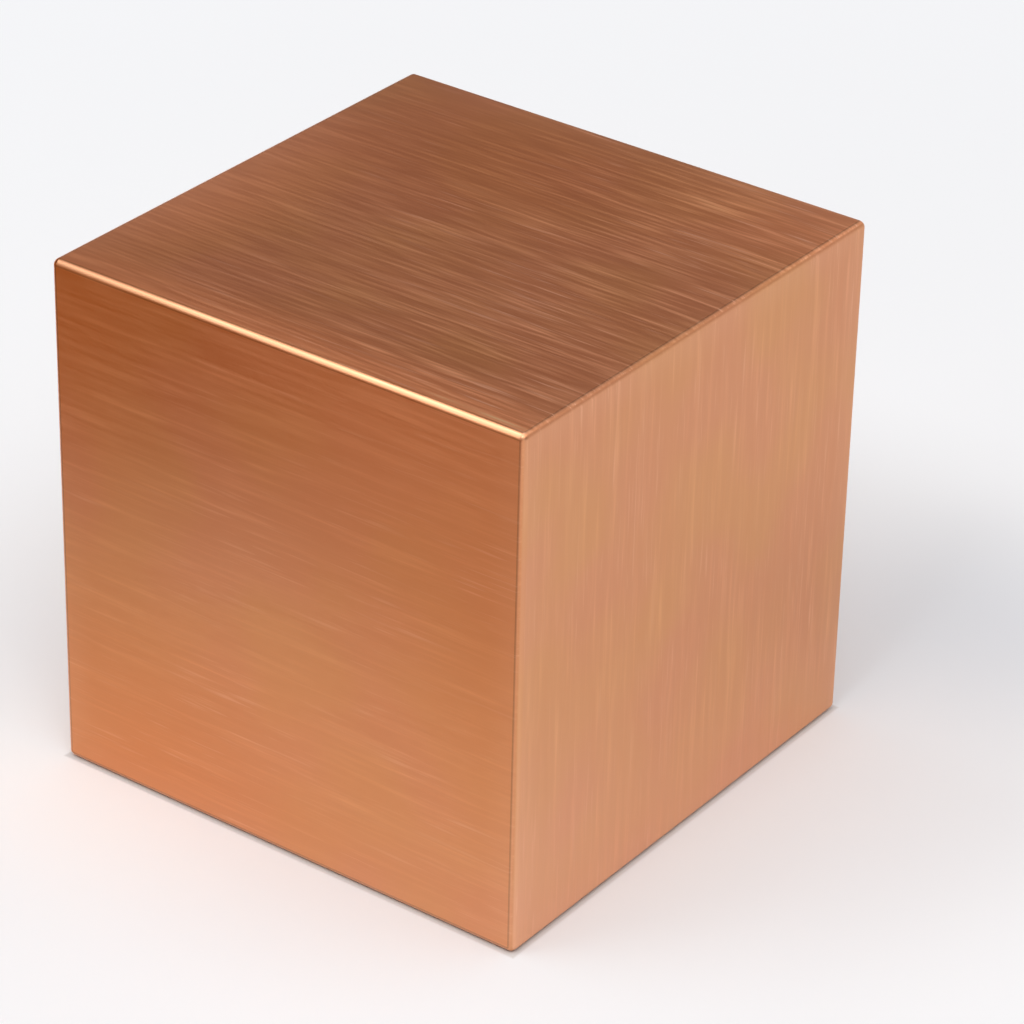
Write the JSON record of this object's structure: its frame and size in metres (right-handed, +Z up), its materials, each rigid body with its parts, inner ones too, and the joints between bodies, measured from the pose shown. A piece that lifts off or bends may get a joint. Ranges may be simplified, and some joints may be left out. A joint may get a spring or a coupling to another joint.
{
  "type": "copper cube",
  "caption": "Solid copper cube with brushed faces and lightly rounded edges and corners, made to sit on a desk or bench as a weight or sample block.",
  "frame": {"origin": "centre of the cube's underside, on the surface it stands on", "axes": "+X to the right along the front face, +Y to the back, +Z up"},
  "size_m": [0.0508, 0.0508, 0.0508],
  "materials": {
    "copper": "solid copper, brushed one way on each face"
  },
  "bodies": {
    "root": {"copper_cube": "copper"}
  },
  "joints": []
}
